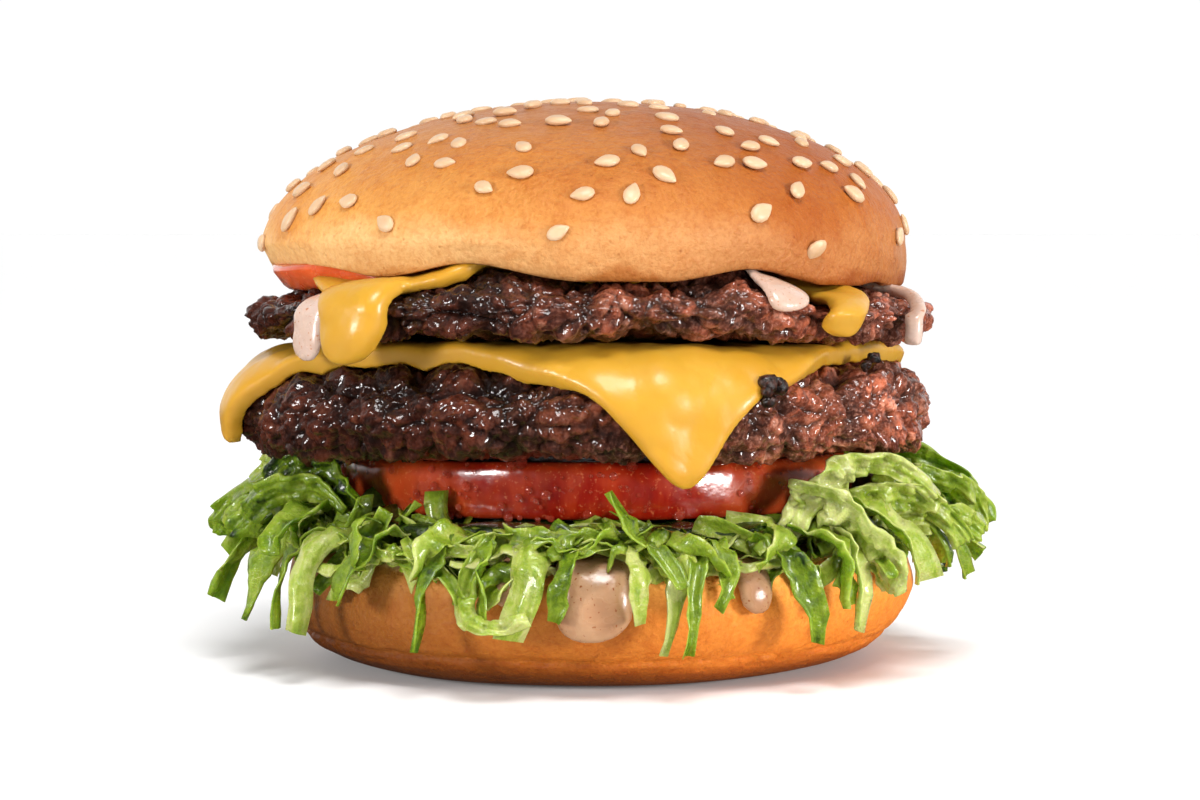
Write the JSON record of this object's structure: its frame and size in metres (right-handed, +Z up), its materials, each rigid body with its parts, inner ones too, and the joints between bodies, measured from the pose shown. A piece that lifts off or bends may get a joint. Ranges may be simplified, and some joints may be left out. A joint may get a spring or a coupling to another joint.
{
  "type": "double cheeseburger",
  "caption": "Tall stacked cheeseburger: beef patties, melted cheese, tomato, shredded lettuce and sauce in a round bun with sesame seeds.",
  "frame": {"origin": "the centre of the bottom bun's flat foot", "axes": "+Z up through the stack, -Y towards the front, +X to the right seen from the front"},
  "size_m": [0.128, 0.1159, 0.0892],
  "materials": {
    "bun_bottom": "baked bread crust, golden brown",
    "bun_top": "baked and glazed bread crust, golden",
    "sauce": "wet pink sauce",
    "lettuce": "crisp wet leaf",
    "tomato": "wet skin and flesh",
    "patty": "seared minced beef, greasy",
    "cheese": "melted processed cheese"
  },
  "bodies": {
    "root": {"bun_bottom": "bun_bottom", "sauce_lower": "sauce", "lettuce": "lettuce", "tomato": "tomato", "patty_lower": "patty", "cheese_lower": "cheese", "patty_upper": "patty", "cheese_upper": "cheese", "sauce_upper": "sauce", "tomato_upper": "tomato", "bun_top": "bun_top"}
  },
  "joints": []
}
